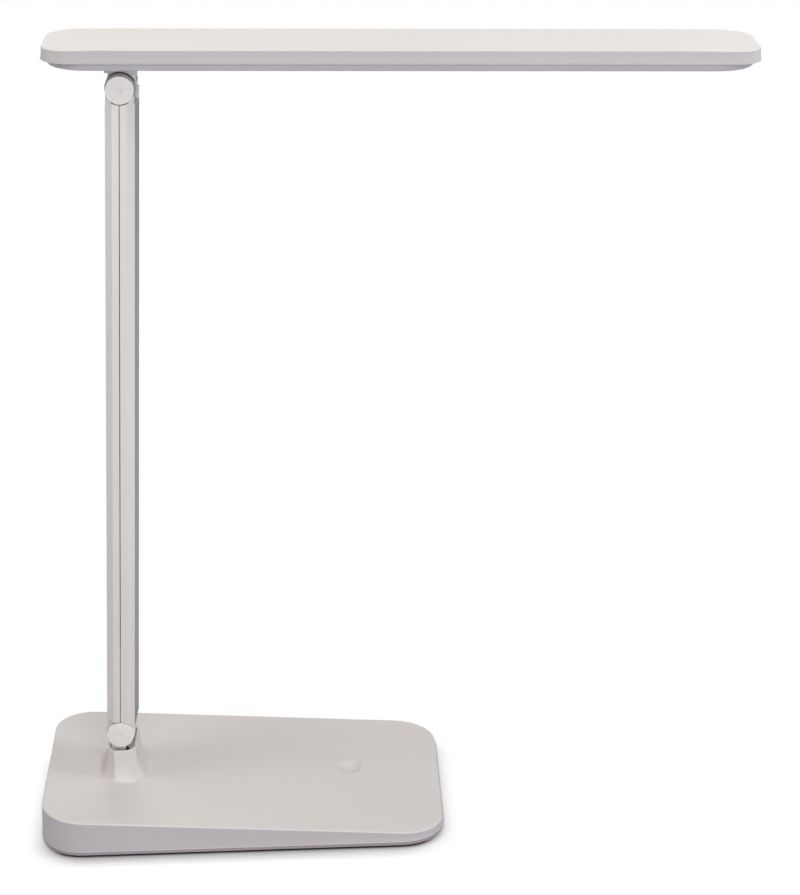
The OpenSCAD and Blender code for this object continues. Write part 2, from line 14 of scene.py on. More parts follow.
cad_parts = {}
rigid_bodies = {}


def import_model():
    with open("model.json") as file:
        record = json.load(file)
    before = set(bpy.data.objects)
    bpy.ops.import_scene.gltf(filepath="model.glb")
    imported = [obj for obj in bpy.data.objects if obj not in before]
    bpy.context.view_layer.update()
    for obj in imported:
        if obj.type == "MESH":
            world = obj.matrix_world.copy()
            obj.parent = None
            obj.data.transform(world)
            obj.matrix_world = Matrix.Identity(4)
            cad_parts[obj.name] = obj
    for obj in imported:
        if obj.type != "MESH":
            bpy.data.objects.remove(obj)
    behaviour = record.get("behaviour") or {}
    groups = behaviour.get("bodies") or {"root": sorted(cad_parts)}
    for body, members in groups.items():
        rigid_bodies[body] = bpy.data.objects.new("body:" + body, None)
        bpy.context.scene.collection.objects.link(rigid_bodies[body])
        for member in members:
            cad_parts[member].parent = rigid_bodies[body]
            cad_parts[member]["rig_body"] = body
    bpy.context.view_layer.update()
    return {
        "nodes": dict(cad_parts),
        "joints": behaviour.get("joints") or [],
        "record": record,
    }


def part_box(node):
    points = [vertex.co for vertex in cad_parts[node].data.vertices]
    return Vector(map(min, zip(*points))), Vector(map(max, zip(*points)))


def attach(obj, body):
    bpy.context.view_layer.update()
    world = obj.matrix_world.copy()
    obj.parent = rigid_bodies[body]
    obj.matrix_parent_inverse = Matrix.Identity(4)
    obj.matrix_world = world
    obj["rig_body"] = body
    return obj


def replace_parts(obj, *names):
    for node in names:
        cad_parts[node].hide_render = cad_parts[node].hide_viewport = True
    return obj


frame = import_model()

scene = bpy.context.scene

# ---------- Camera ----------
# A long lens about a metre in front of the lamp, looking down some twenty degrees.
# Its place and directions were solved from edges and corners measured on the photograph.
camera_at = Vector((-0.0236, -0.97869, 0.5174))
looks = Vector((0.0273203, 0.9359456, -0.3510831))
upright = Vector((0.0288469, 0.3503298, 0.9361821))
photo_height = 895
focal_pixels = 2651.37

lens_data = bpy.data.cameras.new("photo_camera")
lens_data.sensor_width = 36
lens_data.lens = focal_pixels / photo_height * lens_data.sensor_width
lens_data.clip_start, lens_data.clip_end = 0.05, 20
camera = bpy.data.objects.new("photo_camera", lens_data)
scene.collection.objects.link(camera)
across = looks.cross(upright).normalized()
upright = across.cross(looks).normalized()
camera.matrix_world = Matrix.Translation(camera_at) @ Matrix(
    (across, upright, -looks.normalized())).transposed().to_4x4()
scene.camera = camera


# ---------- Base shell ----------
# The weighted base's upper half, injection moulded in ABS: a wedge with round corners whose
# top face sweeps up into the pedestal and its two hinge ears. A shallow dish marks the touch
# control. It replaces the CAD shell and is screwed down on the bottom cover.
MM = 0.001
base_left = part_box("base_top_shell")[0].x / MM
lower_pivot, upper_pivot = (np.array(j["pos_m"]) / MM for j in frame["joints"])
base_w, base_d, base_corner = 160, 100, 17
high_left, high_right = 16, 5.1
wall, top_t, rim_z = 1.8, 2, 2.2
edge_r, lower_edge, skirt = 0.7, 0.35, 0.6
column_w, column_d, chamfer_w, chamfer_d = 11.5, 24, 2.7, 3.2
column_edge, ledge_edge = 0.45, 0.4
flare_w, flare_d, flare_h = 4, 2.5, 10.5
toe_chamfer_w, toe_chamfer_d, toe_round = 3.4, 3, 4.5
back_wider, back_from, back_full = 0.1, 0.35, 0.7
ledge_z, ledge_deep, ledge_rim, ledge_draft = lower_pivot[2] - 7, 1.4, 0.9, 0.2
dish_x, dish_y, dish_r, dish_deep, dish_soft = 123, 5.3, 5.4, 1.4, 0.05
ear_r, ear_in, ear_out, ear_edge = 5.75, 4.3, 8, 0.3
ear_foot, ear_foot_left, ear_foot_right = 8.8, -4.35, 1.6
bolt_bore = 2.05
jack_x, jack_z, jack_hole, jack_from, jack_to = 24, 7.2, 3.9, 46, 60
sharp_angle = np.radians(35)


def spread(*pieces):
    """Rising fractions: each (start, end, count) gives that many even steps of its stretch."""
    return np.concatenate([np.linspace(a, b, n + 1)[:-1] for a, b, n in pieces])


def eight_sided(w, d, cw, cd, r, fill, centre=(0, 0), arc=8):
    """A closed loop: a rectangle w by d, its corners cut by cw and cd, and each of the eight
    corners so made turned into an arc of radius r. An arc starts where the edge before it
    ends and swings round its centre by the angle between the two edges. fill holds the
    fractions at which the front, right, back and left sides get points of their own."""
    x, y = w / 2, d / 2
    corners = np.array([(cw - x, -y), (x - cw, -y), (x, cd - y), (x, y - cd),
                        (x - cw, y), (cw - x, y), (-x, y - cd), (-x, cd - y)], float)
    onward = np.roll(corners, -1, 0) - corners
    onward /= np.linalg.norm(onward, axis=1)[:, None]
    inward = np.roll(onward, 1, 0)
    turn = np.arccos(np.clip((inward * onward).sum(1), -1, 1))
    left = np.stack([-inward[:, 1], inward[:, 0]], 1)
    start = corners - r * np.tan(turn / 2)[:, None] * inward
    swing = turn[:, None, None] * np.linspace(0, 1, arc + 1)[None, :, None]
    arcs = (start + r * left)[:, None] + r * (
        inward[:, None] * np.sin(swing) - left[:, None] * np.cos(swing))
    parts = []
    for i in range(8):
        parts.append(arcs[i])
        if i % 2 == 0:
            side = np.asarray(fill[i // 2])[:, None]
            parts.append(arcs[i, -1] + side * (arcs[(i + 1) % 8, 0] - arcs[i, -1]))
    return np.concatenate(parts) + centre


def rounded(w, d, r, fill, centre=(0, 0)):
    """The same loop with eighth-turn arcs that meet: a rectangle with round corners."""
    cut = (2 - 2 ** 0.5) * r
    return eight_sided(w, d, cut, cut, r, fill, centre)


def at_height(loop, z):
    """The loop's points with a height, which is one number or one for each point."""
    return np.column_stack([loop, np.broadcast_to(z, len(loop))])


def make_piece(name, grids):
    """One mesh object from grids of points in mm, each rows x columns x 3. Neighbouring points
    of neighbouring rows make a face and the last column joins the first. Rows that shrink to
    a point or a line, or repeat another row, close the surface when doubles are merged."""
    points, faces, first = [], [], 0
    for grid in grids:
        rows, columns = grid.shape[:2]
        number = first + np.arange(rows * columns).reshape(rows, columns)
        beside = np.roll(number, -1, 1)
        corners = np.stack([number[:-1], beside[:-1], beside[1:], number[1:]], -1)
        faces.append(corners.reshape(-1, 4))
        points.append(grid.reshape(-1, 3))
        first += rows * columns
    mesh = bpy.data.meshes.new(name)
    mesh.from_pydata((np.concatenate(points) * MM).tolist(), [], np.concatenate(faces).tolist())
    work = bmesh.new()
    work.from_mesh(mesh)
    bmesh.ops.remove_doubles(work, verts=work.verts, dist=0.002 * MM)
    bmesh.ops.recalc_face_normals(work, faces=work.faces)
    work.to_mesh(mesh)
    work.free()
    mesh.shade_smooth()
    mesh.set_sharp_from_angle(angle=sharp_angle)
    made = bpy.data.objects.new(name, mesh)
    scene.collection.objects.link(made)
    return made


def linear(hex_colour):
    """An sRGB hex colour as linear RGBA, by the sRGB curve."""
    c = np.array([int(hex_colour[i:i + 2], 16) for i in (1, 3, 5)]) / 255
    return (*np.where(c <= 0.04045, c / 12.92, ((c + 0.055) / 1.055) ** 2.4), 1)


def add_node(tree, kind, settings=(), **links):
    """Adds a node, sets attributes and sockets, and links sockets to other nodes' outputs."""
    node = tree.nodes.new(kind)
    for key, value in dict(settings).items():
        if hasattr(node, str(key)) and not isinstance(key, int):
            setattr(node, key, value)
        else:
            node.inputs[key].default_value = value
    for key, source in links.items():
        tree.links.new(source, node.inputs[key.replace("_", " ")])
    return node


def finish_of(name, light, dark, rough, grain_mm, metallic=0, relief_mm=0.01, stretch=(1, 1, 1),
              kind="ShaderNodeTexNoise", pattern=(("Detail", 3),), extra=()):
    """A finish whose colour, gloss and relief all follow one pattern of the given grain size,
    with a broader cloud of the same two colours over it."""
    made = bpy.data.materials.new(name)
    made.use_nodes = True
    tree = made.node_tree
    tree.nodes.clear()
    place = add_node(tree, "ShaderNodeTexCoord")
    scaled = add_node(tree, "ShaderNodeMapping", {"Scale": stretch},
                      Vector=place.outputs["Object"])
    fine = add_node(tree, kind, {"Scale": 1 / (grain_mm * MM), **dict(pattern)},
                    Vector=scaled.outputs["Vector"]).outputs[0]
    broad = add_node(tree, "ShaderNodeTexNoise", {"Scale": 14, "Detail": 1},
                     Vector=place.outputs["Object"])
    both = add_node(tree, "ShaderNodeMath", {"operation": "MULTIPLY_ADD", 1: 0.35}, Value=fine)
    tree.links.new(broad.outputs["Fac"], both.inputs[2])
    shade = add_node(tree, "ShaderNodeMapRange", {"From Min": 0.4, "From Max": 0.95},
                     Value=both.outputs["Value"])
    colour = add_node(tree, "ShaderNodeMix", {"data_type": "RGBA"})
    colour.inputs[6].default_value, colour.inputs[7].default_value = linear(light), linear(dark)
    tree.links.new(shade.outputs["Result"], colour.inputs[0])
    swing = 0.03
    gloss = add_node(tree, "ShaderNodeMapRange", {"From Min": 0.3, "From Max": 0.7,
                     "To Min": rough - swing, "To Max": rough + swing}, Value=fine)
    bump = add_node(tree, "ShaderNodeBump", {"Strength": 0.6, "Distance": relief_mm * MM},
                    Height=fine)
    surface = add_node(tree, "ShaderNodeBsdfPrincipled", {"Metallic": metallic, **dict(extra)},
                       Base_Color=colour.outputs[2], Roughness=gloss.outputs["Result"],
                       Normal=bump.outputs["Normal"])
    add_node(tree, "ShaderNodeOutputMaterial", Surface=surface.outputs["BSDF"])
    return made


def dress(piece, *finishes):
    """Gives a piece its finishes, the first of them all over."""
    piece.data.materials.clear()
    for finish in finishes:
        piece.data.materials.append(finish)


def second_finish(piece, chosen):
    """Puts a piece's second finish on the faces that chosen picks from the arrays of the
    faces' centres in mm and of their normals."""
    faces = piece.data.polygons
    centre, normal = np.empty((2, len(faces) * 3))
    faces.foreach_get("center", centre)
    faces.foreach_get("normal", normal)
    picked = chosen(centre.reshape(-1, 3) / MM, normal.reshape(-1, 3))
    faces.foreach_set("material_index", picked.astype(np.int32))


def inset(loop, t):
    """A closed 2D loop moved inwards by t along the mean normal of each point's two edges."""
    ahead, behind = np.roll(loop, -1, 0) - loop, loop - np.roll(loop, 1, 0)
    along = ahead / np.maximum(np.linalg.norm(ahead, axis=1), 1e-9)[:, None] \
        + behind / np.maximum(np.linalg.norm(behind, axis=1), 1e-9)[:, None]
    along /= np.linalg.norm(along, axis=1)[:, None]
    return loop + t * np.stack([-along[:, 1], along[:, 0]], 1)


def slab(loop, low, high, edge, bore):
    """A plate between y = low and y = high with the outline loop in X and Z, quarter-round
    edges and a round bore about the origin, whose points lie on the outline's own angles."""
    quarter = np.linspace(np.pi / 2, 0, 5)
    rise, inwards = edge * (1 - np.sin(quarter)), edge * (1 - np.cos(quarter))
    depths = (low, *(low + rise), *(high - rise[::-1]), high, low)
    angle = np.arctan2(loop[:, 1], loop[:, 0])
    hole = bore * np.stack([np.cos(angle), np.sin(angle)], 1)
    outlines = [hole, *[inset(loop, t) for t in (*inwards, *inwards[::-1])], hole, hole]
    return np.stack([np.column_stack([o[:, 0], np.full(len(o), y), o[:, 1]])
                     for o, y in zip(outlines, depths)])


def base_top(x):
    """Height of the sloping top face at a distance x from the thick end."""
    return high_left + (high_right - high_left) * x / base_w


# The points crowd on the stretch of the right side that faces the touch dish.
base_fill = [spread((0.05, 1, 12)), spread((0.02, 0.45, 10), (0.45, 0.76, 64), (0.76, 1, 6)),
             spread((0.05, 1, 12)), spread((0.05, 1, 8))]


def base_outline(t):
    """The base's outline from above, a round-cornered rectangle moved in by t."""
    return rounded(base_w - 2 * t, base_d - 2 * t, base_corner - t, base_fill, (base_w / 2, 0))


def column_outline(k):
    """The pedestal's section, from the plain column at k = 0 to its spread toe at k = 1. Its
    chamfers spread with the toe, so its front stays as wide, and its back is a little wider."""
    loop = eight_sided(column_w + 2 * flare_w * k, column_d + 2 * flare_d * k,
                       chamfer_w + toe_chamfer_w * k, chamfer_d + toe_chamfer_d * k,
                       column_edge + toe_round * k, base_fill)
    back = np.clip(loop[:, 1] / column_d + back_from, 0, back_full)
    return loop * np.column_stack([1 + back_wider * back, np.ones(len(loop))]) + (pivot_in, 0)


# The rows climb from the shell's rim over its wall and round edge, cross the top face to the
# pedestal's toe, climb the pedestal and end in the slot between its ears.
pivot_in = lower_pivot[0] - base_left
rows = []
for a in np.linspace(0, np.pi / 2, 4):
    loop = base_outline(lower_edge * (1 - np.sin(a)) - skirt)
    rows.append(at_height(loop, rim_z + lower_edge * (1 - np.cos(a))))
for f in (0.01, *np.linspace(0.12, 0.88, 7)):
    loop = base_outline(-skirt * (1 - f) ** 2)
    low = rim_z + lower_edge
    rows.append(at_height(loop, low + f * (base_top(loop[:, 0]) - edge_r - low)))
for a in np.linspace(0, np.pi / 2, 8):
    loop = base_outline(edge_r * (1 - np.cos(a)))
    rows.append(at_height(loop, base_top(loop[:, 0]) - edge_r * (1 - np.sin(a))))
outer, toe = base_outline(edge_r), column_outline(1)
# These rows too crowd where the dish lies. Its bowl fades into the face at its rim.
for f in spread((0.04, 0.24, 4), (0.24, 0.375, 52), (0.375, 1, 9)):
    loop = outer + f * (toe - outer)
    near = 1 - ((loop - (dish_x, dish_y)) ** 2).sum(1) / dish_r ** 2
    rows.append(at_height(loop, base_top(loop[:, 0])
                          - dish_deep * (near + np.sqrt(near ** 2 + dish_soft ** 2)) / 2))
for t in np.linspace(0, 1, 15) ** 1.6:
    loop = column_outline((1 - np.sqrt(1 - (1 - t) ** 2) + (1 - t) ** 2) / 2)
    level = base_top(pivot_in) + flare_h
    rows.append(at_height(loop, base_top(loop[:, 0]) * (1 - t) + level * t))
column = column_outline(0)
for a in np.linspace(0, np.pi / 2, 5):
    rows.append(at_height(inset(column, ledge_edge * (1 - np.cos(a))),
                          ledge_z - ledge_edge * (1 - np.sin(a))))
for t, deep in ((ledge_rim, 0), (ledge_rim + ledge_draft, ledge_deep), (column_w / 3, ledge_deep)):
    rows.append(at_height(inset(column, t), ledge_z - deep))
rows.append(at_height(np.broadcast_to((pivot_in, 0), column.shape), ledge_z - ledge_deep))
inside = base_outline(wall)
roof = [at_height(np.broadcast_to((pivot_in, 0), inside.shape), base_top(pivot_in) - top_t),
        at_height(inside, base_top(inside[:, 0]) - top_t), at_height(inside, rim_z)]
base_grid = np.stack(roof + rows)
base_grid[..., 0] += base_left

turns = np.radians(np.linspace(-74, 229, 73))
ear_outline = np.concatenate([
    [(ear_foot_right, -ear_foot)], ear_r * np.stack([np.cos(turns), np.sin(turns)], 1),
    [(ear_foot_left, -ear_foot)]])
ears = []
for side in (-1, 1):
    ear = slab(ear_outline, ear_in, ear_out, ear_edge, bolt_bore)
    ear[..., 1] *= side
    ears.append(ear + lower_pivot)
base_shell = make_piece("base_shell", [base_grid, *ears])

around = np.linspace(0, 2 * np.pi, 64, endpoint=False)
drill = make_piece("inlet_drill", [np.stack([
    np.column_stack([r * np.cos(around), np.full(len(around), y), r * np.sin(around)])
    for r, y in ((0, jack_to), (jack_hole, jack_to), (jack_hole, jack_from), (0, jack_from))])
    + (base_left + jack_x, 0, jack_z)])
bore_cut = base_shell.modifiers.new("inlet hole", "BOOLEAN")
bore_cut.object, bore_cut.operation, bore_cut.solver = drill, "DIFFERENCE", "EXACT"
drilled = bpy.data.meshes.new_from_object(
    base_shell.evaluated_get(bpy.context.evaluated_depsgraph_get()))
base_shell.modifiers.clear()
base_shell.data = drilled
bpy.data.objects.remove(drill)

# ABS with a fine spark-eroded mould texture: satin, with a broad soft highlight. The texture is
# 0.1 mm on the real part and is drawn at 0.3 mm, about the finest that shows.
shell_abs = finish_of("satin_abs_light_grey", "#DED8D5", "#D8D2CF", 0.42, 0.3)
# The upright band has the mould's coarser sidewall texture and painted shade: a darker, cooler
# colour for the dimmer light on the walls. It stops short of the round edges above and below.
steep, band_top, band_low = 0.6, 0.35, 0.4
painted_shade_band_abs = finish_of("coarse_abs_painted_shade_band", "#BDB6BA", "#B7B0B4", 0.5, 0.4)
dress(base_shell, shell_abs, painted_shade_band_abs)
second_finish(base_shell, lambda at, facing:
              (abs(facing[:, 2]) < steep) & (at[:, 2] > rim_z + band_low)
              & (at[:, 2] < base_top(at[:, 0] - base_left) - band_top))
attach(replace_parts(base_shell, "base_top_shell"), "base")


# ---------- Bottom cover ----------
# The flat lower cover, moulded in dark polypropylene and set in from the shell's rim, so that it
# shows as a dark line above the desk. Screws and feet sit in round recesses of its underside.


def softened(node_name, name, edge):
    """A copy of a CAD node's mesh as one piece of its own: its split points are merged, its flat
    faces made whole again and its edges rounded by a Bevel modifier."""
    node = frame["nodes"][node_name]
    mesh = node.data.copy()
    work = bmesh.new()
    work.from_mesh(mesh)
    bmesh.ops.remove_doubles(work, verts=work.verts, dist=0.004 * MM)
    bmesh.ops.dissolve_limit(work, angle_limit=np.radians(0.5), verts=work.verts, edges=work.edges)
    work.to_mesh(mesh)
    work.free()
    mesh.shade_smooth()
    mesh.set_sharp_from_angle(angle=sharp_angle)
    made = bpy.data.objects.new(name, mesh)
    made.matrix_world = node.matrix_world
    scene.collection.objects.link(made)
    bevel = made.modifiers.new("soft edges", "BEVEL")
    bevel.width, bevel.segments, bevel.angle_limit = edge * MM, 2, sharp_angle
    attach(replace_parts(made, node_name), node["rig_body"])
    return made


bottom_cover = softened("base_bottom_cover", "under_cover", 0.15)
# Polypropylene from a bead-blasted mould: darker, with a flat sheen.
cover_pp = finish_of("blasted_pp_cover", "#A3979D", "#9A8E94", 0.55, 0.4)
dress(bottom_cover, cover_pp)
# Its outer lip closes the joint under the shell's rim.
lip_low, lip_high, lip_edge, lip_in = 0.7, 2.18, 0.4, 1.6
rows = [at_height(base_outline(lip_in), lip_high), at_height(base_outline(0), lip_high)]
for a in np.linspace(0, np.pi / 2, 5):
    rows.append(at_height(base_outline(lip_edge * (1 - np.cos(a)) - skirt / 2),
                          lip_low + lip_edge * (1 - np.sin(a))))
rows += [at_height(base_outline(lip_in), lip_low), rows[0]]
lip = make_piece("cover_lip", [np.stack(rows) + (base_left, 0, 0)])
dress(lip, cover_pp)
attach(lip, "base")


# ---------- Rubber feet ----------
# Four round pads of black silicone rubber, glued into the bottom cover. Each is a low disc
# with a soft rim, turned from one profile.


def turned(profile, steps=64):
    """A surface of revolution about Z: each (radius, height) of the profile swings round."""
    angle = np.linspace(0, 2 * np.pi, steps, endpoint=False)
    return np.stack([np.column_stack([r * np.cos(angle), r * np.sin(angle), np.full(steps, z)])
                     for r, z in profile])


def quarter_round(r, z, size, start, steps=5):
    """Profile points of a quarter circle of that size whose corner would be at (r, z).
    start is +1 where it runs from the flat face to the side and -1 the other way round,
    and the face lies above the corner where size is positive and below where negative."""
    a = np.linspace(0, np.pi / 2, steps)[::start]
    return [(r - abs(size) * (1 - np.sin(t)), z - size * (1 - np.cos(t))) for t in a]


foot_low, foot_high = (c.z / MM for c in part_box("rubber_feet"))
foot_r, foot_edge, foot_glued = 6, 0.25, 0.05
foot_left, foot_right, foot_y = 28, 144, 34
foot_profile = [(0, foot_low), *quarter_round(foot_r, foot_low, -foot_edge, 1),
                (foot_r, foot_high + foot_glued), (0, foot_high + foot_glued)]
foot = turned(foot_profile)
feet = make_piece("feet", [foot + (base_left + x, y, 0)
                           for x in (foot_left, foot_right) for y in (-foot_y, foot_y)])
# Silicone rubber: black and nearly without gloss, with a faint cut grain.
rubber = finish_of("silicone_rubber", "#2B2A2A", "#222121", 0.75, 0.5, relief_mm=0.02)
dress(feet, rubber)
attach(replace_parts(feet, "rubber_feet"), "base")


# ---------- Base screws ----------
# Four pan-head screws of zinc-plated steel that hold the cover from below. Each head is turned
# from one profile and its six-lobe recess is a round one whose wall swings in and out.
screw_low, screw_high = (c.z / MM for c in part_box("base_screws"))
screw_l = screw_high - screw_low
pan_r, pan_h, pan_edge, shank_r = 2.2, 0.8, 0.35, 1.1
lobe_r, lobe_deep, lobes, lobe_swing = 1.0, 0.55, 6, 0.16
screw_left, screw_right, screw_y, screw_steps = 13, 112, 36, 72
recess = [(0.7 * lobe_r, lobe_deep), (lobe_r, 0.85 * lobe_deep), (lobe_r, 0)]
screw_profile = [(0, lobe_deep), *recess, *quarter_round(pan_r, 0, -pan_edge, 1), (pan_r, pan_h),
                 (shank_r, pan_h), (shank_r, screw_l), (0, screw_l)]
screw = turned(screw_profile, screw_steps)
around = np.linspace(0, 2 * np.pi, screw_steps, endpoint=False)
screw[1:1 + len(recess), :, :2] *= (1 + lobe_swing * np.cos(lobes * around))[None, :, None]
base_screws = make_piece("cover_screws", [
    screw + (base_left + x, y, screw_low)
    for x in (screw_left, screw_right) for y in (-screw_y, screw_y)])
# Zinc plate on turned steel: bright, slightly streaked round the axis.
zinc = finish_of("zinc_plated_steel", "#B9BBBD", "#A6A9AC", 0.32, 0.2, 1, 0.004, (1, 1, 6))
dress(base_screws, zinc)
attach(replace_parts(base_screws, "base_screws"), "base")


# ---------- Inside the base ----------
# The steel ballast plate, the LED driver on its board, the touch sensor under the dish and the
# lead up the pedestal. They are fastened to the cover and shell and are hidden when it is shut.
nodes = frame["nodes"]
# Hot-rolled plate under thin zinc, with the broad spangle that plating leaves.
spangle = finish_of("spangled_ballast_plate", "#AEB1B4", "#999DA1", 0.4, 6, 1, 0.004,
                    kind="ShaderNodeTexVoronoi", pattern={})
dress(nodes["ballast_plate"], spangle)
# Solder mask over etched tracks: the tracks show as slightly raised, lighter runs.
mask = finish_of("solder_mask_board", "#1F5A34", "#17462A", 0.4, 2.4, relief_mm=0.03,
                 kind="ShaderNodeTexBrick", pattern={"Mortar Size": 0.12, "Brick Width": 0.9})
for name in ("driver_board", "touch_board"):
    dress(nodes[name], mask)
# Moulded epoxy and ferrite: black, with a fine matt grain.
epoxy = finish_of("moulded_component_black", "#232325", "#1B1B1D", 0.5, 0.3)
dress(nodes["driver_components"], epoxy)
dress(nodes["driver_board_screws"], zinc)
# Conductive foam: open cells, so the relief is deep and there is no gloss.
foam = finish_of("conductive_foam", "#6E6E70", "#5C5C5E", 0.9, 0.5, relief_mm=0.15,
                 kind="ShaderNodeTexVoronoi", pattern={})
dress(nodes["touch_pad"], foam)
# Soft PVC sleeve: dark grey with a slight drag grain along the wire.
pvc = finish_of("pvc_sleeve", "#3A393B", "#302F31", 0.5, 0.5)
pvc_red = finish_of("pvc_sleeve_red", "#8E2320", "#7C1D1B", 0.5, 0.5)
sleeves = {"lead_black": pvc, "lead_red": pvc_red}
slot_of = {row["node"]: row["material_slot"] for row in frame["record"]["subparts"]}
for name in ("touch_lead", "base_lead"):
    dress(nodes[name], sleeves.get(slot_of[name], pvc))


# ---------- Power inlet ----------
# A barrel inlet behind a round hole in the rear wall. Its black body is moulded round a plated
# pin, and its nose with the bore stands in the hole.
inlet_body = softened("power_inlet", "inlet_body", 0.12)
dress(inlet_body, epoxy)


# ---------- Hinge caps ----------
# Round press-fit covers over the ends of both hinge bolts, moulded in the shell's ABS. Each
# has a soft rim, a gate dimple in the middle of its face and a pocket for the bolt behind.
cap_r, cap_face, cap_back, cap_pocket_r, cap_pocket = 5.3, 12, 8, 4, 10.8
cap_rim, dimple_r, dimple_deep = 0.35, 1.0, 0.8
dimple = [(dimple_r * np.sin(a), cap_face - dimple_deep * (1 + np.cos(2 * a)) / 2)
          for a in np.linspace(0, np.pi / 2, 9)]
cap_profile = [*dimple, *quarter_round(cap_r, cap_face, cap_rim, 1, 7), (cap_r, cap_back + 0.1),
               (cap_r - 0.1, cap_back), (cap_pocket_r, cap_back), (cap_pocket_r, cap_pocket),
               (0, cap_pocket)]
cap = turned(cap_profile, 96)
# The same ABS in a paler batch and a smoother mould.
cap_abs = finish_of("smooth_abs_cap", "#E6E1DE", "#E0DBD8", 0.36, 0.3)
# The rims get a painted highlight: a near-white colour for the fine bright line along them.
painted_highlight_rim_abs = finish_of("painted_highlight_abs_rim", "#F8F5F3", "#F3F0EE", 0.3, 0.3)
for name, centre in (("lower", lower_pivot), ("upper", upper_pivot)):
    for end, side in (("front", -1), ("rear", 1)):
        laid = np.stack([cap[..., 0], side * cap[..., 2], cap[..., 1]], -1)
        disc = make_piece(f"{name}_{end}_disc", [laid + centre])
        dress(disc, cap_abs, painted_highlight_rim_abs)
        # The painted highlight is on what faces neither out nor sideways, near the cap's edge.
        second_finish(disc, lambda at, facing:
                      (abs(facing[:, 1]) > 0.1) & (abs(facing[:, 1]) < 0.97)
                      & (np.hypot(*(at - centre)[:, ::2].T) > cap_r - 2 * cap_rim))
        node_name = f"{name}_{end}_cap"
        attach(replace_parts(disc, node_name), nodes[node_name]["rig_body"])


# ---------- Hinge bolts ----------
# Both hinges are one clamped stack each: a shoulder bolt, brass friction washers and a locking
# nut, all under the caps.
# Rolled brass: warm, with fine lines from the rolling.
brass = finish_of("rolled_brass", "#C9A25A", "#B48E4A", 0.35, 0.3, 1, 0.004, (1, 8, 8))
for name in ("lower", "upper"):
    dress(nodes[f"{name}_hinge_bolt"], zinc)
    dress(nodes[f"{name}_hinge_nut"], zinc)
    dress(nodes[f"{name}_friction_washers"], brass)


# ---------- Hinge blocks ----------
# The arm's two end blocks, moulded in glass-filled nylon and pinned inside the shells: below, a
# tongue of two leaves between the pedestal's ears; above, a fork whose ears carry the head.
# Glass-filled nylon: a touch greyer than the shells, with faint flow streaks along the arm.
nylon = finish_of("glass_filled_nylon", "#D2CECC", "#C8C4C2", 0.5, 0.6, relief_mm=0.015,
                  stretch=(1, 1, 0.2))
# The fork's colour is painted shadow: dark grey, so it shows as the shade behind the upper caps.
painted_shadow_nylon = finish_of("glass_filled_nylon_painted_shadow_fork", "#8E8987", "#857F7D", 0.5, 0.6, relief_mm=0.015,
                       stretch=(1, 1, 0.2))
for name, finish in (("arm_lower_tongue", nylon), ("arm_upper_fork", painted_shadow_nylon)):
    block = softened(name, name.replace("arm", "block"), 0.2)
    dress(block, finish)
dress(nodes["arm_dowels"], zinc)
dress(nodes["arm_lead"], pvc)


# ---------- Arm shells ----------
# Two extruded-looking half shells moulded in ABS that meet in a fine seam down the middle of
# the front and back. Their ends are cut round about the hinges' ears and caps.
arm_lean = 3
arm_l, arm_w, arm_d, arm_wall = 265, 11.5, 24, 1.3
arm_edge, seam_half, end_edge = 0.35, 0.16, 0.2
cap_layer, ear_relief, cap_relief = 8.2, 6.25, 5.65
flat_cut, horn_z, prong_drop, ledge_drop = 5.6, 2, 2, 7
front_share, lip_share, back_share, band_y = 0.93, 0.965, 1.09, 8.8
groove_front, groove_back, groove_deep = -8.74, -8.34, 0.45


def leaned(points, degrees, pivot):
    """Points of a part that stands on its pivot, turned about Y towards +X by the angle."""
    a = np.radians(degrees)
    x, y, z = np.moveaxis(points, -1, 0)
    return np.stack([x * np.cos(a) + z * np.sin(a), y, z * np.cos(a) - x * np.sin(a)], -1) + pivot


def half_path(t, r):
    """The right half of the arm's section, moved in by t, from the front seam to the back. The
    side's closest points stand at the walls of its groove, which are steps in the section."""
    slant = chamfer_w + chamfer_d - np.hypot(chamfer_w, chamfer_d)
    side = [spread((0.5, 1, 8)),
            [0.001, 0.002, 0.0164, 0.0165, *np.linspace(0.05, 0.95, 9), 0.9835, 0.9836],
            spread((0.05, 0.5, 8)), []]
    loop = eight_sided(arm_w - 2 * t, arm_d - 2 * t, chamfer_w - t * slant / chamfer_d,
                       chamfer_d - t * slant / chamfer_w, r, side, arc=6)
    middle = np.argmin(abs(loop[:, 0]) + (loop[:, 1] > 0) * 99)
    half = np.roll(loop, -middle, 0)
    half = half[:np.argmin(abs(half[:, 0]) + (half[:, 1] < 0) * 99) + 1]
    half[[0, -1], 0] = seam_half
    return half


def styled(path):
    """The outside of the section as styled: narrower in front, then a fine groove, then a side
    band that widens towards the back."""
    x, y = path.T
    share = np.interp(y, [-band_y, groove_back, band_y], [front_share, lip_share, back_share])
    sunk = groove_deep * ((y > groove_front) & (y < groove_back) & (x > arm_w / 4))
    return np.column_stack([np.where(x > seam_half, x * share - sunk, x), y])


def low_end(x, y):
    """Height of the arm's lower end: above the ears' or the caps' circle, level on the left."""
    r = np.where(abs(y) < cap_layer, ear_relief, cap_relief)
    round_cut = np.sqrt(np.maximum(r ** 2 - x ** 2, 0))
    return np.maximum(round_cut, np.where(x < 0, flat_cut, horn_z))


def high_end(x, y):
    """Height of the arm's upper end: a level ledge between the prongs, round at the caps."""
    round_cut = np.sqrt(np.maximum(cap_relief ** 2 - x ** 2, 0))
    prong = arm_l - np.maximum(prong_drop, round_cut)
    return np.where(abs(y) < ear_out, arm_l - ledge_drop, prong)


